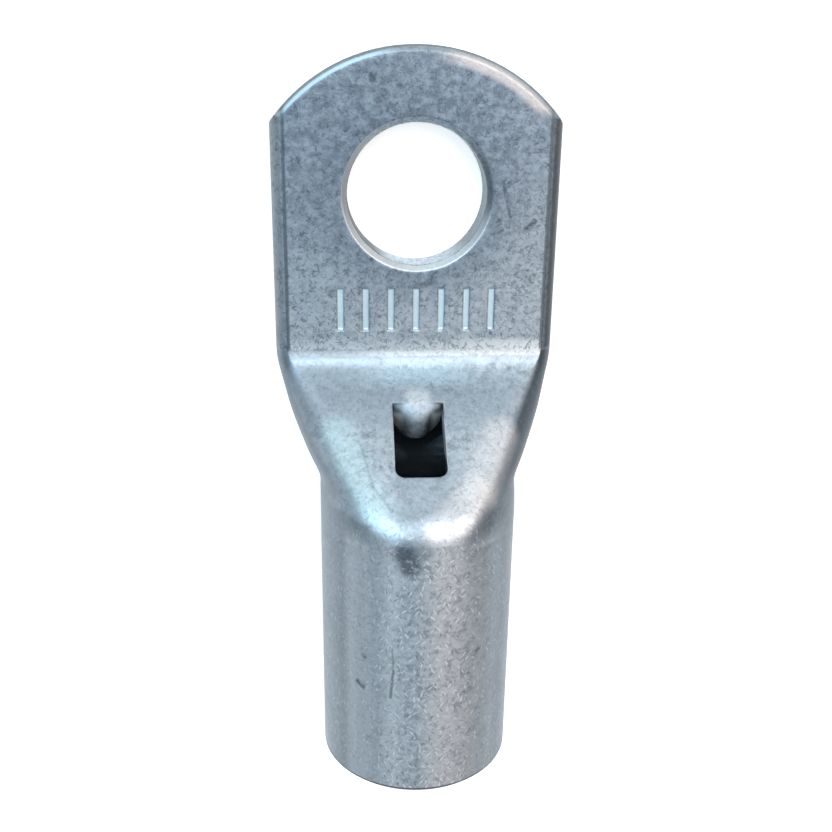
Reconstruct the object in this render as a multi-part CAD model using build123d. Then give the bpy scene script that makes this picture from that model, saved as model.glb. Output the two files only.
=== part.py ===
from build123d import *
import os
from math import asin, cos, degrees, pi, radians, sin, sqrt, tan

# Compression lug for a 50 mm2 conductor and an M8 stud, drawn from one length of tube.
# One end of the tube is pressed flat into the palm, which is punched for the stud.
# The slope between barrel and palm is pierced by a sight window, and the tongue left
# hanging in the window is folded inwards, where it stops the conductor.
# Origin: centre of the stud hole on the palm's back face. +Y runs to the palm's tip,
# -Y to the mouth of the barrel, +Z out of the front face. Millimetres.

# Tube and lengths
tube_od = 12.0
wall = 1.25
hole_to_tip = 8.5
hole_to_bend = 10.3
hole_to_mouth = 35.5
mouth_break = 0.3

# Palm
hole_d = 8.4
tip_radius = 10.8
edge_width = 0.8
rim_roll = 0.35

# Press shape between palm and barrel
slope_angle = 52.8
bend_radius = 1.7
ridge_radius = 3.0
flat_share = 0.67
delay_share = 0.13
growth_share = 1.4
hip_share = 0.2
closed_gap = 0.3

# Sight window, measured along the slope from the bend line
window_start = 3.06
window_length = 5.25
window_width = 3.1
window_corner = 0.6

# Tongue folded in from the window's palm end
tongue_gap = 0.08
tongue_radius = 1.35
tongue_inner_radius = 0.15
tongue_dish = 0.9
tongue_turn = 110.0
tongue_reach = 1.5
tongue_lead = 0.2
tongue_root = 10.0

# Plain stamped strokes on the palm
stroke_count = 7
stroke_pitch = 1.55
stroke_length = 2.6
stroke_width = 0.4
stroke_depth = 0.12
hole_to_strokes = 6.9

# Sizes that follow from the tube: the palm is two walls thick, and pressing keeps the girth
tube_r = tube_od / 2
palm_thick = 2 * wall
press_depth = tube_od - palm_thick
palm_half = (palm_thick + pi / 2 * press_depth) / 2
palm_flat = palm_half - edge_width
edge_radius = (edge_width**2 + wall**2) / (2 * edge_width)
edge_turn = asin(wall / edge_radius)
slope = radians(slope_angle)
crest_line = -hole_to_bend - press_depth / tan(slope)
least_flat = 0.05

# How many sections the press shape is drawn through on each of its stretches
bend_count = 3
slope_count = 5
crest_count = 5
hollow_count = 12
tongue_count = 6


def bend_span(inset=0.0):
    """Where the round at the foot of the slope starts and ends along Y."""
    line = -hole_to_bend - inset * tan(slope / 2)
    reach = (bend_radius + inset) * tan(slope / 2)
    return line + reach, line - reach * cos(slope)


def crest_span(inset=0.0):
    """Where the round at the top of the slope starts and ends along Y."""
    line = crest_line - inset * tan(slope / 2)
    reach = (ridge_radius - inset) * tan(slope / 2)
    return line + reach * cos(slope), line - reach


def front_height(y, inset=0.0):
    """Height of the pressed front over the back face, or with an inset, of the wall's inner side."""
    low = palm_thick - inset
    high = tube_od - inset
    bend_start, bend_end = bend_span(inset)
    crest_start, crest_end = crest_span(inset)
    if y >= bend_start:
        return low
    if y > bend_end:
        radius = bend_radius + inset
        return low + radius - sqrt(radius**2 - (bend_start - y) ** 2)
    if y > crest_start:
        return low + (-hole_to_bend - inset * tan(slope / 2) - y) * tan(slope)
    if y > crest_end:
        radius = ridge_radius - inset
        return high - radius + sqrt(radius**2 - (y - crest_end) ** 2)
    return high


def palm_section(y):
    """Section of the palm: two flats, and sides rounded to one radius that meet the flats at an edge."""
    centre = palm_half - edge_radius
    knee_x = centre + edge_radius * cos(edge_turn / 2)
    knee_z = edge_radius * sin(edge_turn / 2)

    def side(way, face, knee):
        return ThreePointArc((way * palm_flat, y, face), (way * knee_x, y, knee), (way * palm_half, y, wall))

    back = Line((-palm_flat, y, 0), (palm_flat, y, 0))
    front = Line((palm_flat, y, palm_thick), (-palm_flat, y, palm_thick))
    feet = [side(way, 0, wall - knee_z) for way in (1, -1)]
    shoulders = [side(way, palm_thick, wall + knee_z) for way in (1, -1)]
    return Face(Wire([back, feet[0], shoulders[0], front, shoulders[1], feet[1]]))


def spread_half(shut_share):
    """Half the width over the sides, which the press pushes out once the front is some way down."""
    share = max(shut_share - delay_share, 0) / (1 - delay_share)
    return tube_r + (palm_half - tube_r) * share * (1 + growth_share * share * (1 - share) ** 2)


def pressed_section(y, inset=0.0):
    """Section of the pressed tube at y: flat back, round sides, and a front flat between two shoulders."""
    height = front_height(y)
    open_share = (height - palm_thick) / press_depth
    shut_share = 1 - open_share
    outer_half = spread_half(shut_share)
    corner_width = edge_width + (tube_r - edge_width) * open_share
    chord = sqrt(tube_r**2 - max(height - tube_r, 0) ** 2)
    half = outer_half - inset
    widest_flat = half - edge_width / 4
    back_flat = max(min(outer_half - corner_width, widest_flat), least_flat)
    pressed_flat = flat_share * chord + (palm_flat - flat_share * tube_r) * shut_share**3
    front_flat = max(min(pressed_flat, widest_flat), least_flat)
    low = inset
    top = front_height(y, inset)
    middle = (low + top) / 2

    # Each side curve turns less than a right angle near the palm, which leaves its edge there
    turn = edge_turn + (pi / 2 - edge_turn) * open_share
    handle = 4 / 3 * tan(turn / 4)
    lean = 4 * open_share * shut_share * hip_share
    side_reach = handle / sin(turn)
    face_reach = handle * sin(turn) / (1 - cos(turn))
    drop = handle / tan(turn) * (top - middle)
    foot_x = back_flat + face_reach * (half - back_flat)
    foot_z = middle - side_reach * (middle - low)
    side_z = middle + (side_reach - lean) * (top - middle)
    shoulder_x = front_flat + (face_reach + lean / 2) * (half - front_flat)

    def quarter(way, *points):
        return Bezier(*[(way * x, y, z) for x, z in points])

    def foot(way):
        return quarter(way, (back_flat, low), (foot_x, low + drop), (half, foot_z), (half, middle))

    def shoulder(way):
        return quarter(way, (half, middle), (half, side_z), (shoulder_x, top - drop), (front_flat, top))

    back = Line((-back_flat, y, low), (back_flat, y, low))
    front = Line((front_flat, y, top), (-front_flat, y, top))
    return Face(Wire([back, foot(1), shoulder(1), front, shoulder(-1), foot(-1)]))


def barrel_section(y, inset=0.0):
    """Round section of the tube, split at the same six places as a pressed one."""
    radius = tube_r - inset
    tilt = degrees(asin(least_flat / radius))
    splits = [-90 - tilt, -90 + tilt, 0, 90 - tilt, 90 + tilt, 180, 270 - tilt]
    arcs = [CenterArc((0, 0), radius, start, end - start) for start, end in zip(splits, splits[1:])]
    return Plane((0, y, tube_r), x_dir=(1, 0, 0), z_dir=(0, -1, 0)) * Face(Wire(arcs))


def steps(start, end, count):
    """Evenly spaced places from start to end, without the start."""
    return [start + (end - start) * (i + 1) / count for i in range(count)]


def tube_with_palm():
    """Outside of the lug: straight barrel, press shape and flat palm, still square at the tip."""
    bend_start, bend_end = bend_span()
    crest_start, crest_end = crest_span()
    shut = palm_section(bend_start)
    round_end = barrel_section(crest_end)
    bend_places = steps(bend_start, bend_end, bend_count)
    slope_places = steps(bend_end, crest_start, slope_count)
    crest_places = steps(crest_start, crest_end, crest_count)[:-1]
    between = [pressed_section(y) for y in bend_places + slope_places + crest_places]
    palm = extrude(shut, amount=hole_to_tip - bend_start, dir=(0, 1, 0))
    barrel = extrude(round_end, amount=crest_end + hole_to_mouth, dir=(0, -1, 0))
    return palm + loft([shut] + between + [round_end]) + barrel


def closed_end():
    """Place along Y where the hollow has narrowed to the closed gap."""
    radius = bend_radius + wall
    return bend_span(wall)[0] - sqrt(radius**2 - (radius - closed_gap) ** 2)


def hollow():
    """Inside of the tube: the bore, and its taper under the slope to where the walls meet."""
    crest_start, crest_end = crest_span(wall)
    places = [closed_end()] + steps(closed_end(), crest_start, hollow_count)
    round_end = barrel_section(crest_end, wall)
    taper = loft([pressed_section(y, wall) for y in places] + [round_end], ruled=True)
    bore = extrude(round_end, amount=crest_end + hole_to_mouth, dir=(0, -1, 0))
    return taper + bore


def tip_waste():
    """What the blanking of the tip takes away."""
    centre = hole_to_tip - tip_radius
    stock = Pos(0, centre + tip_radius, 0) * Box(3 * tip_radius, 2 * tip_radius, 2 * tube_od)
    return stock - Pos(0, centre, 0) * Cylinder(tip_radius, 3 * tube_od)


slope_plane = Plane((0, -hole_to_bend, palm_thick), x_dir=(1, 0, 0), z_dir=(0, sin(slope), cos(slope)))


def window():
    """Sight window: straight sides, square corners at the tongue and rounded ones towards the barrel."""
    middle = -window_start - window_length / 2
    outline = Pos(0, middle) * Rectangle(window_width, window_length)
    outline = fillet(outline.vertices().sort_by(Axis.Y)[:2], window_corner)
    return slope_plane * extrude(outline, amount=2 * wall, both=True)


def tongue():
    """Tongue of the window: it leaves the slope flush, and is dished more and more as it folds inwards."""
    half = window_width / 2 - tongue_gap
    root = tongue_lead - window_start
    hinge = Axis((0, root, -tongue_radius), (1, 0, 0))
    under = tongue_inner_radius - tongue_radius

    def section(turn):
        dish = tongue_dish * sin(radians(max(turn, 0)))
        top = Bezier((-half, root, -dish), (0, root, dish), (half, root, -dish))
        sides = Polyline((half, root, -dish), (half, root, under), (-half, root, under), (-half, root, -dish))
        return Face(Wire([top] + sides.edges())).rotate(hinge, turn)

    turns = [-tongue_root] + steps(-tongue_root, tongue_turn, tongue_count)
    fold = loft([section(turn) for turn in turns])
    turn = radians(tongue_turn)
    straight = extrude(section(tongue_turn), amount=tongue_reach, dir=(0, -cos(turn), -sin(turn)))
    return slope_plane * (fold + straight)


def stamped_strokes():
    """Row of plain upright strokes, as deep as a stamp leaves them."""
    first = -(stroke_count - 1) / 2
    spots = [(first + i) * stroke_pitch for i in range(stroke_count)]
    stroke = Box(stroke_width, stroke_length, 2 * stroke_depth)
    return [Pos(x, -hole_to_strokes, palm_thick) * stroke for x in spots]


def rims_of(body, radius):
    """Edges of that radius on the palm's front face."""
    circles = body.edges().filter_by(GeomType.CIRCLE)
    front = circles.filter_by_position(Axis.Z, palm_thick - rim_roll / 2, palm_thick + rim_roll / 2)
    return [edge for edge in front if abs(edge.radius - radius) < rim_roll / 2]


def make_lug():
    body = tube_with_palm() - tip_waste() - hollow() - window() + tongue()
    body -= Cylinder(hole_d / 2, 4 * palm_thick)
    body = chamfer(rims_of(body, hole_d / 2), rim_roll)
    body = chamfer(rims_of(body, tip_radius), rim_roll)
    mouth = body.faces().sort_by(Axis.Y)[0]
    body = chamfer(mouth.outer_wire().edges(), mouth_break)
    return body - stamped_strokes()


os.makedirs("parts", exist_ok=True)
export_step(make_lug(), "parts/lug.step")
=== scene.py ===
from math import cos, radians, sin
from types import SimpleNamespace

import bpy
from mathutils import Matrix, Vector

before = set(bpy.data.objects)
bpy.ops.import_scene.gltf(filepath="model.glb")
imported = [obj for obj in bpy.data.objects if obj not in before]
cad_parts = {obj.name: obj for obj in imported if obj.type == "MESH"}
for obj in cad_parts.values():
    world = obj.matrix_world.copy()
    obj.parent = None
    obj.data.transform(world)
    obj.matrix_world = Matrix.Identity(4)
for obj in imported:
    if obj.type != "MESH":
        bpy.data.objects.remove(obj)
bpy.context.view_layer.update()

# Lengths are in metres. The lug lies on its flat back, its barrel towards -Y and its palm towards +Y.
MM = 0.001

# The CAD's own places, in millimetres
PALM_START = -9.5
PALM_THICK = 2.5
BARREL_START = -19.0
MOUTH = -35.5
TUBE_RADIUS = 6.0
TIP_RADIUS = 10.8
HOLE_TO_TIP = 8.5

# Colours, as sRGB hex values
TIN = "C3CDD4"
# The darker tone of the tin's grain, and painted shade on the slope and the crest
TIN_GRAIN_AND_SHADE = "A3AFBA"
TIN_CLOUD = "B4BFC8"
TIN_DARK = "6F7A86"
# Dull grey tin: real blotches off the palm, painted shade on the sides, rims, crest and tongue, and painted light
# on the bore's floor
TIN_BLOTCH_AND_SHADING = "737C84"
# Painted shade on the palm's edges, the right shoulder, the barrel's right and the mouth's edge
TIN_EDGE_SHADE = "565D64"
# Painted shade on the palm's right side
TIN_FAR_SIDE_SHADE = "3A3E42"
# The palm's blotched skin, darkened as painted shade
TIN_PALM_SHADE_DARK = "637180"
TIN_PALM_SHADE_PALE = "8A99A8"
TIN_VEIN = "4A5460"
# Painted warm sheen on the right half of the barrel
TIN_WARM_SHEEN = "D3D0D4"
# Painted highlight on the bottoms of the stamped strokes
TIN_STAMP_HIGHLIGHT = "D9F0FA"
# Painted shade inside the tube
TIN_INSIDE_SHADE = "3A4046"
# Painted highlights on the bend, the palm beside it, the hole's rim, the tongue and its root
TIN_HIGHLIGHT = "F2F6F8"
# Light tone of the tin's crystal needles, and painted light on the barrel and the palm beside the bend
TIN_CRYSTAL_AND_SHEEN = "E2EAEF"
# Painted highlights on the crest's legs and apex
TIN_LEFT_LEG_HIGHLIGHT = "D5F4FC"
TIN_RIGHT_LEG_HIGHLIGHT = "FAF6F6"
TIN_APEX_HIGHLIGHT = "FFF8F6"
FLOOR = "F2F2F1"
WHITE = "FFFFFF"
# Lamp colours, which also tint painted highlights on the tip's rim and painted light on the slope's foot
COOL_LIGHT = "CFEFFF"
WARM_LIGHT = "FFF3EC"
TENT = "D2D9DE"
TENT_FRONT = "EEF7FB"
TENT_WARM = "E6E3E1"
TENT_LEFT = "98A6B2"
TENT_RIGHT = "7C8084"
CARD = "566069"

# Patterns. Needles have their sizes in millimetres, noises and veins a number of cells to the millimetre, and a
# vein's spread is in the noise's own unit. The photograph shows the tin's crystals as needles about 0.5 mm long.
# Its finest grain, a few hundredths of a millimetre, would not show, and is drawn as coarse as 0.4 mm.
LIGHT_NEEDLES = {"spacing": 0.4, "length": 0.5, "width": 0.12, "seed": 3.1}
DARK_NEEDLES = {"spacing": 0.38, "length": 0.45, "width": 0.12, "seed": 7.7}
VEINS = {"per_mm": 0.9, "spread": 0.03, "seed": 5.3}
FINE_VEINS = {"per_mm": 1.9, "spread": 0.06, "seed": 1.9}
CLOUDS = {"Scale": 0.5, "Detail": 4.0, "Roughness": 0.6}
GRAIN = {"Scale": 2.6, "Detail": 4.0, "Roughness": 0.7}
BLOTCHES = {"Scale": 1.6, "Detail": 5.0, "Roughness": 0.72}
GRAIN_HEIGHT = 0.05
EDGE_ROUND = 0.22
SHADE_REACH = 5.0

# Streaks, from a start to an end in millimetres, each with its half width. The painted ones have a colour and a
# share: painted highlights, two on each leg of the crest and one on the root of the tongue, and painted shade on a
# spot between the legs.
PAINTED_LIGHT_STREAKS = [
    ((-4.9, -13.4, 6.5), (-3.0, -16.3, 10.4), 1.6, TIN_LEFT_LEG_HIGHLIGHT, 0.38),
    ((-3.0, -16.3, 10.4), (-1.6, -17.3, 11.4), 1.6, TIN_LEFT_LEG_HIGHLIGHT, 0.25),
    ((4.9, -13.5, 6.7), (3.3, -15.9, 9.8), 1.6, TIN_RIGHT_LEG_HIGHLIGHT, 0.4),
    ((3.3, -15.9, 9.8), (0.9, -17.8, 11.8), 1.5, TIN_APEX_HIGHLIGHT, 0.35),
    ((-0.9, -17.2, 11.4), (-0.3, -18.5, 12.0), 1.1, TIN_BLOTCH_AND_SHADING, 0.5),
    ((-0.25, -11.87, 4.57), (0.25, -11.87, 4.57), 0.8, TIN_HIGHLIGHT, 0.6),
]

# The marks have a share only: a dark spot below the crest, a scratch down the barrel in two lengths, a faint
# line from the die in two lengths, specks on the tip and the barrel, and scuffs on the palm.
MARKS = [
    ((-1.2, -18.9, 11.9), (-0.8, -19.7, 12.0), 0.95, 0.8),
    ((-1.8, -25.1, 11.7), (-1.72, -26.7, 11.7), 0.1, 0.4),
    ((-1.72, -26.7, 11.7), (-1.9, -28.6, 11.7), 0.13, 0.6),
    ((-3.52, -13.95, 7.3), (-2.88, -15.67, 9.58), 0.14, 0.25),
    ((-2.88, -15.67, 9.58), (-1.83, -16.67, 10.88), 0.14, 0.25),
    ((-2.7, 6.55, 2.5), (-2.65, 6.85, 2.5), 0.3, 0.7),
    ((-3.8, -28.1, 10.6), (-3.5, -28.3, 10.8), 0.28, 0.7),
    ((-3.5, -26.1, 10.9), (-3.4, -26.2, 10.9), 0.2, 0.6),
    ((3.3, -25.9, 11.0), (3.5, -25.8, 10.9), 0.24, 0.6),
    ((2.5, -28.6, 11.4), (2.6, -28.6, 11.4), 0.2, 0.6),
    ((5.1, 0.8, 2.5), (5.6, -1.2, 2.5), 0.14, 0.6),
    ((6.6, -2.0, 2.5), (7.1, -1.5, 2.5), 0.24, 0.8),
    ((-0.4, -5.5, 2.5), (1.2, -5.2, 2.5), 0.22, 0.4),
]

# Painted light: patches on the floor of the bore that light reaches through the window, with a share
BORE_LIGHT_PATCHES = [
    ((-1.0, -16.9, 1.3), (-0.7, -17.1, 1.3), 0.5, 0.7),
    ((-1.0, -17.6, 1.3), (1.4, -17.5, 1.4), 1.6, 0.5),
]


def linear(code):
    """Linear RGBA of an sRGB hex value."""
    parts = [int(code[i:i + 2], 16) / 255 for i in (0, 2, 4)]
    return [p / 12.92 if p <= 0.04045 else ((p + 0.055) / 1.055) ** 2.4 for p in parts] + [1.0]


def add(tree, kind, settings=None, **inputs):
    """Adds a node with its settings. Inputs are sockets by name or number: a value, or an output to link."""
    node = tree.nodes.new(kind)
    for name, value in (settings or {}).items():
        setattr(node, name, value)
    for name, value in inputs.items():
        key = int(name[1:]) if name[0] == "i" and name[1:].isdigit() else name.replace("_", " ")
        socket = node.inputs[key]
        if isinstance(value, bpy.types.NodeSocket):
            tree.links.new(value, socket)
        else:
            socket.default_value = value
    return node


def mask(tree, *factors):
    """Product of factors: numbers, outputs, and soft steps given as (output, start, end).

    A step runs from 0 at its start to 1 at its end, or between the two values that follow them.
    """
    result = None
    for factor in factors:
        if isinstance(factor, tuple):
            value, start, end, low, high = (*factor, 0.0, 1.0)[:5]
            step = {"interpolation_type": "SMOOTHSTEP"}
            factor = add(tree, "ShaderNodeMapRange", step, Value=value,
                         From_Min=start, From_Max=end, To_Min=low, To_Max=high).outputs[0]
        if result is not None:
            factor = add(tree, "ShaderNodeMath", {"operation": "MULTIPLY"}, i0=result, i1=factor).outputs[0]
        result = factor
    return result


def window(value, low, high, soft):
    """Two steps that let a value through from low to high, and fade over the soft length on either side."""
    return (value, low - soft, low), (value, high + soft, high)


def layered(tree, colour, layers):
    """A colour under layers. Each layer is its own colour, then the factors of its mask."""
    for over, *factors in layers:
        over = linear(over) if isinstance(over, str) else over
        colour = add(tree, "ShaderNodeMix", {"data_type": "RGBA"},
                     i0=mask(tree, *factors), i6=colour, i7=over).outputs[2]
    return colour


# Tinned copper

def crystals(tree, at, spacing, length, width, seed):
    """Mask of short needles, one to a cell of the given spacing, each lying in the surface at its own angle."""
    spot = add(tree, "ShaderNodeVectorMath", {"operation": "ADD"},
               i0=at.mm, i1=(seed, 2 * seed, 3 * seed)).outputs[0]
    cell = add(tree, "ShaderNodeTexVoronoi", {"voronoi_dimensions": "3D", "feature": "F1"},
               Vector=spot, Scale=1 / spacing, Randomness=1.0).outputs
    offset = add(tree, "ShaderNodeVectorMath", {"operation": "SUBTRACT"}, i0=spot, i1=cell["Position"]).outputs[0]
    lean = add(tree, "ShaderNodeVectorMath", {"operation": "SUBTRACT"}, i0=cell["Color"], i1=(0.5, 0.5, 0.5))
    across = add(tree, "ShaderNodeVectorMath", {"operation": "CROSS_PRODUCT"}, i0=lean.outputs[0], i1=at.normal)
    across = add(tree, "ShaderNodeVectorMath", {"operation": "NORMALIZE"}, i0=across.outputs[0]).outputs[0]
    along = add(tree, "ShaderNodeVectorMath", {"operation": "CROSS_PRODUCT"}, i0=across, i1=at.normal).outputs[0]
    squares = []
    for way, size in ((along, length), (across, width)):
        far = add(tree, "ShaderNodeVectorMath", {"operation": "DOT_PRODUCT"}, i0=offset, i1=way).outputs["Value"]
        far = add(tree, "ShaderNodeMath", {"operation": "MULTIPLY"}, i0=far, i1=2 / size).outputs[0]
        squares.append(add(tree, "ShaderNodeMath", {"operation": "POWER"}, i0=far, i1=2.0).outputs[0])
    both = add(tree, "ShaderNodeMath", {"operation": "ADD"}, i0=squares[0], i1=squares[1]).outputs[0]
    pick = add(tree, "ShaderNodeSeparateColor", Color=cell["Color"]).outputs["Green"]
    chosen = add(tree, "ShaderNodeMapRange", Value=pick, From_Min=0.35).outputs[0]
    return mask(tree, (both, 1.0, 0.2), chosen)


def veins(tree, at, per_mm, spread, seed):
    """Mask of thin wriggling lines, broken into short lengths."""
    spot = add(tree, "ShaderNodeVectorMath", {"operation": "ADD"},
               i0=at.mm, i1=(seed, 2 * seed, 3 * seed)).outputs[0]
    field = add(tree, "ShaderNodeTexNoise", {"noise_dimensions": "3D"},
                Vector=spot, Scale=per_mm, Detail=2.0, Roughness=0.6, Distortion=0.6).outputs["Fac"]
    off = add(tree, "ShaderNodeMath", {"operation": "SUBTRACT"}, i0=field, i1=0.5).outputs[0]
    off = add(tree, "ShaderNodeMath", {"operation": "ABSOLUTE"}, i0=off).outputs[0]
    parts = add(tree, "ShaderNodeTexNoise", {"noise_dimensions": "3D"},
                Vector=spot, Scale=1.7 * per_mm, Detail=1.0).outputs["Fac"]
    return mask(tree, (off, spread, 0.0), (parts, 0.44, 0.56))


def streak(tree, at, start, end, width):
    """Mask of a streak from start to end, full along its middle and gone at its half width."""
    start, end = Vector(start), Vector(end)
    run = end - start
    offset = add(tree, "ShaderNodeVectorMath", {"operation": "SUBTRACT"}, i0=at.mm, i1=start).outputs[0]
    share = add(tree, "ShaderNodeVectorMath", {"operation": "DOT_PRODUCT"}, i0=offset, i1=run / run.length_squared)
    share = add(tree, "ShaderNodeClamp", Value=share.outputs["Value"]).outputs[0]
    nearest = add(tree, "ShaderNodeVectorMath", {"operation": "SCALE"}, i0=run, Scale=share).outputs[0]
    far = add(tree, "ShaderNodeVectorMath", {"operation": "DISTANCE"}, i0=offset, i1=nearest).outputs["Value"]
    return mask(tree, (far, width, 0.3 * width))


def surface(tree):
    """What the layers are drawn from: a surface point's place, facing and noise, and its parts of the lug."""
    at = SimpleNamespace()
    place = add(tree, "ShaderNodeTexCoord").outputs["Object"]
    at.mm = add(tree, "ShaderNodeVectorMath", {"operation": "SCALE"}, i0=place, Scale=1 / MM).outputs[0]
    at.normal = add(tree, "ShaderNodeNewGeometry").outputs["Normal"]
    at.x, at.y, at.z = add(tree, "ShaderNodeSeparateXYZ", Vector=at.mm).outputs
    at.face_x, at.face_y, at.face_z = add(tree, "ShaderNodeSeparateXYZ", Vector=at.normal).outputs
    at.aside, at.across = [add(tree, "ShaderNodeMath", {"operation": "ABSOLUTE"}, i0=value).outputs[0]
                           for value in (at.x, at.face_x)]
    at.cloud, at.grain, at.blotch = [
        add(tree, "ShaderNodeTexNoise", {"noise_dimensions": "3D"}, Vector=at.mm, **pattern).outputs["Fac"]
        for pattern in (CLOUDS, GRAIN, BLOTCHES)]

    # Distances from the axis of the stud hole and from that of the tip's round
    plan = add(tree, "ShaderNodeVectorMath", {"operation": "MULTIPLY"}, i0=at.mm, i1=(1, 1, 0)).outputs[0]
    at.from_hole, at.from_tip_axis = [
        add(tree, "ShaderNodeVectorMath", {"operation": "DISTANCE"}, i0=plan, i1=(0, middle, 0)).outputs["Value"]
        for middle in (0, HOLE_TO_TIP - TIP_RADIUS)]

    # How far a point that faces the barrel's axis lies from it
    to_axis = add(tree, "ShaderNodeVectorMath", {"operation": "MULTIPLY_ADD"},
                  i0=at.mm, i1=(-1, 0, -1), i2=(0, 0, TUBE_RADIUS)).outputs[0]
    at.inward = add(tree, "ShaderNodeVectorMath", {"operation": "DOT_PRODUCT"},
                    i0=to_axis, i1=at.normal).outputs["Value"]

    at.palm = mask(tree, (at.y, PALM_START - 0.15, PALM_START + 0.15))
    at.off_palm = mask(tree, (at.y, PALM_START + 0.15, PALM_START - 0.15))
    at.barrel = mask(tree, (at.y, BARREL_START + 3.0, BARREL_START - 1.0))
    at.front = mask(tree, (at.face_z, -0.2, 0.1))
    at.flat = mask(tree, at.palm, (at.face_z, 0.9, 0.99))
    at.tip = mask(tree, at.front, (at.y, 4.4, 5.2))
    at.tongue = mask(tree, *window(at.y, -14.8, -12.1, 0.05), (at.aside, 1.6, 1.56), (at.z, 3.7, 3.9))

    # The light needles are also raised from the surface
    at.calm = mask(tree, (at.across, 0.2, 0.8, 1.0, 0.2))
    at.needles = mask(tree, crystals(tree, at, **LIGHT_NEEDLES),
                      (at.y, BARREL_START + 3.0, BARREL_START - 1.0, 0.1, 0.95), at.off_palm, at.calm)
    return at


# Layers of the tin's colour, which lie over each other in the order of the lists. Places are in millimetres,
# facings run from -1 to 1, noises lie about 0.5, and a number alone is the layer's share.

def broad_layers(tree, at):
    """The tin's own tones, the palm's skin in painted shade, and painted light.

    In turn: grain, clouds, a painted warm sheen on the right half of the barrel, the palm's blotched skin,
    darkened as painted shade towards the tip and round the hole, a painted highlight on its end beside the bend,
    blotches off the palm, and painted light on the left of the barrel.
    """
    palm_skin_and_shade = layered(tree, linear(TIN_PALM_SHADE_DARK), [(TIN_PALM_SHADE_PALE, (at.blotch, 0.38, 0.64))])
    slant = add(tree, "ShaderNodeMath", {"operation": "MULTIPLY_ADD"}, i0=at.x, i1=-0.15, i2=at.y).outputs[0]
    highlight_beside_bend = mask(tree, at.flat, (at.y, -8.5, -9.5))
    return [
        (TIN, (at.grain, 0.36, 0.62)),
        (TIN_CLOUD, (at.cloud, 0.45, 0.65), 0.5),
        (TIN_WARM_SHEEN, at.barrel, (at.x, -0.3, 0.7), 0.5),
        (palm_skin_and_shade, at.flat, (slant, -11.5, 6.0), 0.85),
        (palm_skin_and_shade, at.flat, (at.from_hole, 7.5, 4.5), 0.55),
        (TIN_CRYSTAL_AND_SHEEN, highlight_beside_bend, 0.6),
        (TIN_HIGHLIGHT, highlight_beside_bend, (at.x, -1.0, 6.0), 0.9),
        (TIN_BLOTCH_AND_SHADING, (at.blotch, 0.5, 0.36), at.off_palm, at.front, 0.5),
        (TIN_CRYSTAL_AND_SHEEN, at.barrel, *window(at.x, -4.2, -1.8, 0.8), 0.4),
    ]


def painted_slope_shading(at):
    """Painted light and shade on the slope.

    In turn: painted shade on the slope's top, a painted highlight at the bend's start, painted shade at its end
    and its left, painted shade at the left and painted light in the middle of its foot, painted shade on the slope
    below the window, and painted shade in the middle of the crest.
    """
    return [
        (TIN_GRAIN_AND_SHADE, *window(at.y, -12.8, -11.8, 0.9), at.front, 0.6),
        (TIN_HIGHLIGHT, *window(at.y, -9.75, -9.6, 0.25), at.off_palm, at.front, 0.6),
        (TIN_GRAIN_AND_SHADE, *window(at.y, -10.25, -10.0, 0.25), at.front, 0.75),
        (TIN_GRAIN_AND_SHADE, *window(at.y, -10.9, -9.5, 0.1), (at.x, -1.0, -5.0), at.front, 0.6),
        (TIN_GRAIN_AND_SHADE, *window(at.y, -11.2, -10.0, 0.2), (at.x, -1.5, -5.0), at.front, 0.6),
        (COOL_LIGHT, *window(at.y, -11.0, -10.8, 0.65), at.front, (at.aside, 5.0, 0.5, 0.1, 0.5)),
        (TIN_GRAIN_AND_SHADE, *window(at.y, -16.6, -15.2, 0.8), (at.aside, 2.2, 1.2), at.front, 0.5),
        (TIN_GRAIN_AND_SHADE, *window(at.y, -18.4, -16.8, 0.6), (at.aside, 2.6, 1.2), at.front, 0.75),
    ]


def painted_side_shading(at):
    """Painted shade on the tube's sides off the palm and on the palm's sides, darkest on the right shoulder.

    In turn: painted shade on the sides off the palm, on the palm's left and right sides, on the right shoulder and
    on the barrel's right, painted light on a stripe along the barrel's left and one along its right, and painted
    shade on the left shoulder.
    """
    return [
        (TIN_BLOTCH_AND_SHADING, (at.across, 0.2, 0.85), (at.face_y, 0.45, 0.1), at.off_palm, 0.9),
        (TIN_BLOTCH_AND_SHADING, (at.face_x, -0.35, -0.8), at.palm, 0.95),
        (TIN_FAR_SIDE_SHADE, (at.face_x, 0.3, 0.7), at.palm, 0.95),
        (TIN_EDGE_SHADE, (at.face_x, 0.25, 0.5), (at.y, -21.0, -15.0), at.off_palm),
        (TIN_EDGE_SHADE, (at.face_x, 0.5, 0.85), at.barrel, 0.3),
        (TIN_CRYSTAL_AND_SHEEN, at.barrel, *window(at.x, -4.0, -3.4, 0.8), at.front, 0.38),
        (TIN_CRYSTAL_AND_SHEEN, at.barrel, *window(at.x, 3.5, 4.3, 0.8), at.front, 0.12),
        (TIN_BLOTCH_AND_SHADING, (at.face_x, -0.25, -0.6), (at.y, -20.0, -16.0), at.off_palm, 0.55),
    ]


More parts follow.
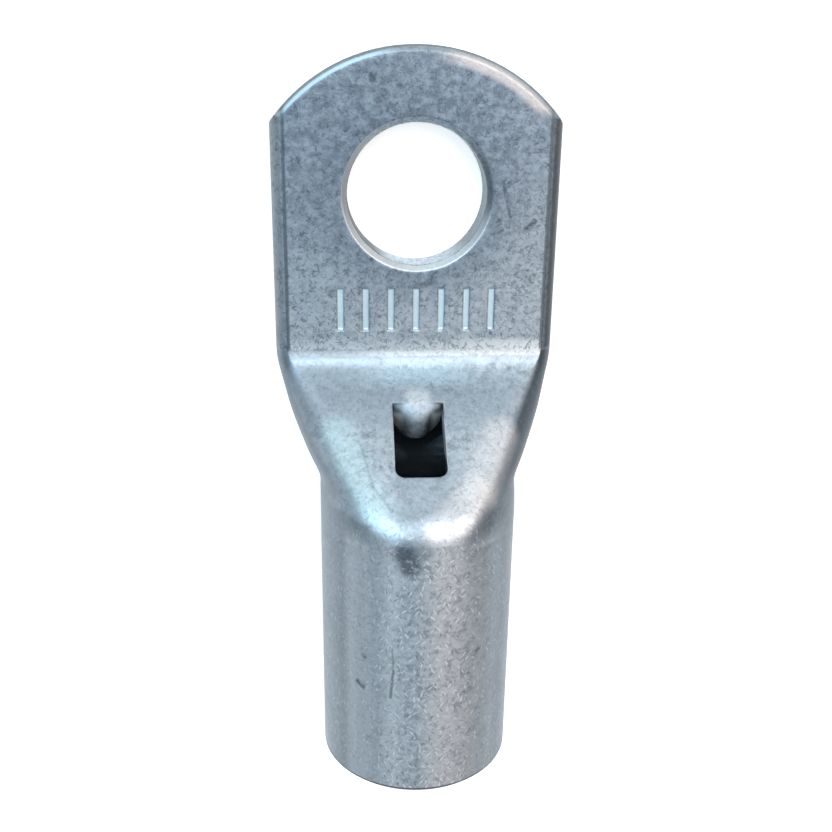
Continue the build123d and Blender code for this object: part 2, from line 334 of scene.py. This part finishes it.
def grain_layers(tree, at):
    """Dark needles and thin dark veins, most on the pressed palm, and light needles on the barrel."""
    worked = add(tree, "ShaderNodeMath", {"operation": "MAXIMUM"}, i0=at.palm, i1=at.barrel).outputs[0]
    dark_share, vein_share, fine_share = [
        add(tree, "ShaderNodeMath", {"operation": "MULTIPLY_ADD"}, i0=part, i1=rise, i2=low).outputs[0]
        for part, rise, low in ((worked, 0.3, 0.35), (at.palm, 0.4, 0.2), (at.palm, 0.3, 0.2))]
    return [
        (TIN_DARK, crystals(tree, at, **DARK_NEEDLES), dark_share, at.calm),
        (TIN_VEIN, veins(tree, at, **VEINS), vein_share, (at.blotch, 0.62, 0.44)),
        (TIN_VEIN, veins(tree, at, **FINE_VEINS), fine_share),
        (TIN_CRYSTAL_AND_SHEEN, at.needles),
    ]


def painted_rim_shading(tree, at):
    """Painted light and shade on edges and rolled rims.

    In turn: painted shade on the edge between the palm's flat and its sides, on the tip's rim a thin cool painted
    highlight at its left and a wide warm one at its right between two edges in painted shade, painted highlights
    on the hole's rim below and at its left and painted shade above it, and painted shade on the edge of the mouth.
    """
    roll = mask(tree, at.palm, *window(at.from_hole, 4.25, 4.55, 0.04))
    return [
        (TIN_EDGE_SHADE, *window(at.aside, 7.84, 7.93, 0.12), at.palm, at.front, 0.8),
        (TIN_BLOTCH_AND_SHADING, at.tip, (at.from_tip_axis, TIP_RADIUS - 0.4, TIP_RADIUS - 0.3), 0.6),
        (COOL_LIGHT, at.tip, *window(at.from_tip_axis, TIP_RADIUS - 0.3, TIP_RADIUS - 0.22, 0.1),
         (at.x, -0.5, -3.0), 0.75),
        (WARM_LIGHT, at.tip, *window(at.from_tip_axis, TIP_RADIUS - 0.65, TIP_RADIUS - 0.4, 0.4),
         (at.x, 0.5, 3.0), 0.45),
        (TIN_BLOTCH_AND_SHADING, at.tip, (at.from_tip_axis, TIP_RADIUS - 0.16, TIP_RADIUS - 0.04), 0.8),
        (TIN_HIGHLIGHT, roll, (at.face_y, 0.0, 0.35), 0.6),
        (TIN_HIGHLIGHT, roll, (at.face_x, 0.2, 0.6), 0.6),
        (TIN_BLOTCH_AND_SHADING, roll, (at.face_y, 0.1, -0.4), 0.3),
        (TIN_EDGE_SHADE, (at.y, MOUTH + 0.44, MOUTH + 0.36), 0.9),
    ]


def painted_inside_shading(tree, at):
    """Painted shade darkens the inside of the tube, where little light reaches, but for painted light on patches
    under the window.

    The tongue in the window is kept out of that shade, with painted shade on its flanks at its root and painted
    light on them further in.
    """
    hidden = add(tree, "ShaderNodeAmbientOcclusion", {"only_local": True, "samples": 6},
                 Distance=SHADE_REACH * MM).outputs["AO"]
    shut = add(tree, "ShaderNodeMath", {"operation": "SUBTRACT"}, i0=1.0, i1=at.tongue).outputs[0]
    deep = mask(tree, (at.y, MOUTH, MOUTH + 10.0))
    flank = mask(tree, at.tongue, (at.aside, 0.7, 1.15))
    return [
        (TIN_INSIDE_SHADE, (hidden, 0.4, 0.1), shut, deep),
        (TIN_BLOTCH_AND_SHADING, flank, *window(at.y, -12.6, -12.35, 0.35), 0.65),
        (TIN_HIGHLIGHT, flank, (at.y, -12.65, -13.0), 0.6),
        (TIN_INSIDE_SHADE, (at.inward, 2.0, 3.5), (at.y, -12.8, -13.4), deep),
    ] + [(TIN_BLOTCH_AND_SHADING, streak(tree, at, start, end, width), share) for start, end, width, share in BORE_LIGHT_PATCHES]


def tinned_copper():
    """Drawn copper tube with a matte electroplated tin skin: soft grey metal, grainy with fine tin crystals."""
    material = bpy.data.materials.new("tinned copper, matte plated")
    material.use_nodes = True
    tree = material.node_tree
    shader = tree.nodes["Principled BSDF"]
    at = surface(tree)

    # Besides the tin's own tones, grain and marks, these layers paint light and shade onto the lug: on the palm,
    # the slope, the sides, the crest, the rims and the inside
    layers = broad_layers(tree, at) + painted_slope_shading(at) + painted_side_shading(at)
    layers += [(code, streak(tree, at, start, end, width), share)
               for start, end, width, code, share in PAINTED_LIGHT_STREAKS]
    layers += grain_layers(tree, at) + painted_rim_shading(tree, at)
    patchy = mask(tree, (at.grain, 0.36, 0.5))
    layers += [(TIN_VEIN, streak(tree, at, start, end, width), patchy, share)
               for start, end, width, share in MARKS]
    layers += painted_inside_shading(tree, at)

    # Painted highlight: the bottom of each stamped stroke is drawn bright
    layers.append((TIN_STAMP_HIGHLIGHT, at.flat, (at.z, PALM_THICK - 0.04, PALM_THICK - 0.1), 0.9))
    tree.links.new(layered(tree, linear(TIN_GRAIN_AND_SHADE), layers), shader.inputs["Base Color"])
    shader.inputs["Metallic"].default_value = 1.0

    rough = add(tree, "ShaderNodeMapRange", Value=at.cloud, To_Min=0.36, To_Max=0.5).outputs[0]
    rough = add(tree, "ShaderNodeMath", {"operation": "MULTIPLY_ADD"}, i0=at.tongue, i1=0.15, i2=rough).outputs[0]
    tree.links.new(rough, shader.inputs["Roughness"])

    edge = add(tree, "ShaderNodeBevel", {"samples": 6}, Radius=EDGE_ROUND * MM).outputs[0]
    relief = add(tree, "ShaderNodeMath", {"operation": "MULTIPLY_ADD"}, i0=at.needles, i1=0.5, i2=at.grain)
    bump = add(tree, "ShaderNodeBump", Height=relief.outputs[0], Strength=0.42, Distance=GRAIN_HEIGHT * MM,
               Normal=edge)
    tree.links.new(bump.outputs[0], shader.inputs["Normal"])
    return material


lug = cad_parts["lug"]
lug.data.materials.clear()
lug.data.materials.append(tinned_copper())


# Floor

FLOOR_SIZE = 1.2
FLOOR_LIFT = 0.5


def studio_floor():
    """Matte pale paper. The camera and mirrors see it white, and it keeps the lug's shadow."""
    material = bpy.data.materials.new("pale studio paper")
    material.use_nodes = True
    tree = material.node_tree
    shader = tree.nodes["Principled BSDF"]
    shader.inputs["Base Color"].default_value = linear(FLOOR)
    shader.inputs["Roughness"].default_value = 0.9
    path = add(tree, "ShaderNodeLightPath").outputs
    seen = path["Is Camera Ray"]
    for kind in ("Is Transmission Ray", "Is Glossy Ray"):
        seen = add(tree, "ShaderNodeMath", {"operation": "MAXIMUM"}, i0=seen, i1=path[kind]).outputs[0]
    tree.links.new(mask(tree, seen, FLOOR_LIFT), shader.inputs["Emission Strength"])
    shader.inputs["Emission Color"].default_value = linear(WHITE)
    return material


corners = [(x * FLOOR_SIZE / 2, y * FLOOR_SIZE / 2, 0) for x, y in ((-1, -1), (1, -1), (1, 1), (-1, 1))]
sheet = bpy.data.meshes.new("floor")
sheet.from_pydata(corners, [], [(0, 1, 2, 3)])
sheet.materials.append(studio_floor())
floor = bpy.data.objects.new("floor", sheet)
bpy.context.collection.objects.link(floor)


# Light

# Both softboxes face the lug's middle from the same height and distance. The card's middle and its soft edge are
# in degrees from its own axis.
LUG_MIDDLE = Vector((0, -12, 0)) * MM
BOX_ELEVATION = 58
BOX_DISTANCE = 0.5
BOX_SIZE = (0.5, 0.34)
CARD_WAY = Vector((-0.12, 0.12, 1)).normalized()
CARD_CORE = 5
CARD_EDGE = 31


def softbox(name, azimuth, power, colour):
    """Area lamp that faces the lug. Azimuth 0 is over the palm's tip and 90 to the right of the picture."""
    data = bpy.data.lights.new(name, "AREA")
    data.shape = "RECTANGLE"
    data.size, data.size_y = BOX_SIZE
    data.energy = power
    data.color = linear(colour)[:3]
    lamp = bpy.data.objects.new(name, data)
    a, e = radians(azimuth), radians(BOX_ELEVATION)
    way = Vector((sin(a) * cos(e), cos(a) * cos(e), sin(e)))
    lamp.location = way * BOX_DISTANCE + LUG_MIDDLE
    lamp.rotation_euler = way.to_track_quat("Z", "Y").to_euler()
    bpy.context.collection.objects.link(lamp)


def studio_world():
    """Pale tent, brightest in front of the palm's tip and dim at its sides, with a dark card overhead.

    The camera sees it white.
    """
    world = bpy.data.worlds.new("studio")
    bpy.context.scene.world = world
    world.use_nodes = True
    tree = world.node_tree
    way = add(tree, "ShaderNodeTexCoord").outputs["Generated"]
    x, y, z = add(tree, "ShaderNodeSeparateXYZ", Vector=way).outputs
    overhead = add(tree, "ShaderNodeVectorMath", {"operation": "DOT_PRODUCT"},
                   i0=way, i1=CARD_WAY).outputs["Value"]
    colour = layered(tree, linear(TENT), [
        (TENT_FRONT, (y, 0.1, 0.7), (z, -0.05, 0.16)),
        (TENT_WARM, (x, 0.1, 0.5)),
        (TENT_LEFT, (x, -0.4, -0.95)),
        (TENT_RIGHT, (x, 0.7, 1.0)),
        (CARD, (overhead, cos(radians(CARD_EDGE)), cos(radians(CARD_CORE)))),
        (WHITE, add(tree, "ShaderNodeLightPath").outputs["Is Camera Ray"]),
    ])
    tree.links.new(colour, tree.nodes["Background"].inputs["Color"])


softbox("cool softbox", azimuth=-42, power=1.35, colour=COOL_LIGHT)
softbox("neutral softbox", azimuth=42, power=1.25, colour=WARM_LIGHT)
studio_world()


# Camera, fitted to the photograph's outlines. Its angles are in degrees, from straight down.

PICTURE_WIDTH = 832
FOCAL_PIXELS = 1026.7
SENSOR_WIDTH = 36
TILT = 19.8
TURN = 4.3
ROLL = 0.83
AIM = Vector((0.28, -14.79, 0)) * MM
DISTANCE = 68.34 * MM

tilt, turn, roll = radians(TILT), radians(TURN), radians(ROLL)
back = Vector((-sin(turn) * cos(tilt), sin(tilt), cos(turn) * cos(tilt)))
right = Vector((0, 1, 0)).cross(back).normalized()
up = back.cross(right)
across = right * cos(roll) + up * sin(roll)
upright = up * cos(roll) - right * sin(roll)
camera_data = bpy.data.cameras.new("camera")
camera_data.sensor_width = SENSOR_WIDTH
camera_data.lens = FOCAL_PIXELS / PICTURE_WIDTH * SENSOR_WIDTH
camera_data.clip_start = 1 * MM
camera = bpy.data.objects.new("camera", camera_data)
pose = Matrix((across, upright, back)).transposed().to_4x4()
pose.translation = AIM + back * DISTANCE
camera.matrix_world = pose
bpy.context.collection.objects.link(camera)
bpy.context.scene.camera = camera

bpy.context.scene.view_settings.view_transform = "Standard"
